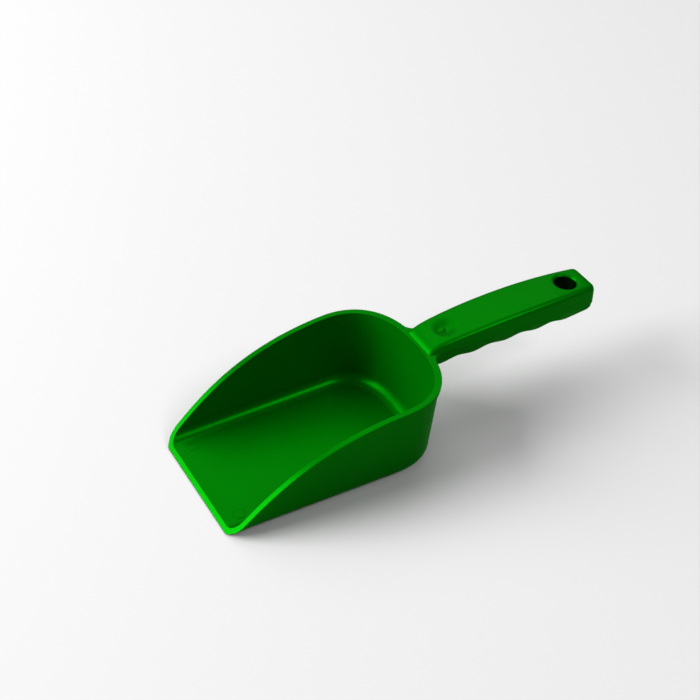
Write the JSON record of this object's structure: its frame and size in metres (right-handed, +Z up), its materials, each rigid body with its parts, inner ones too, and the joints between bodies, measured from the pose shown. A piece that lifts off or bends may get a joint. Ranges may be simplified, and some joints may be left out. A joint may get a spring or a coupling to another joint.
{
  "type": "hand scoop",
  "caption": "Moulded plastic hand scoop for feed or grain: open flat-floored bowl with rounded back, rising rim and a hollow finger-grip handle with a hanging hole.",
  "frame": {"origin": "centre of the overall box in plan, on the plane the floor's underside rests on", "axes": "+X from the lip towards the handle's end, +Y across the bowl to the left of someone holding it, +Z up"},
  "size_m": [0.2816, 0.1062, 0.065],
  "materials": {
    "green_plastic": "semi-matt moulded polypropylene, pure green"
  },
  "bodies": {
    "root": {"scoop_bowl": "green_plastic", "handle_top_shell": "green_plastic", "handle_grip_shell": "green_plastic", "hanging_hole_bush": "green_plastic", "gate_plug": "green_plastic"}
  },
  "joints": []
}
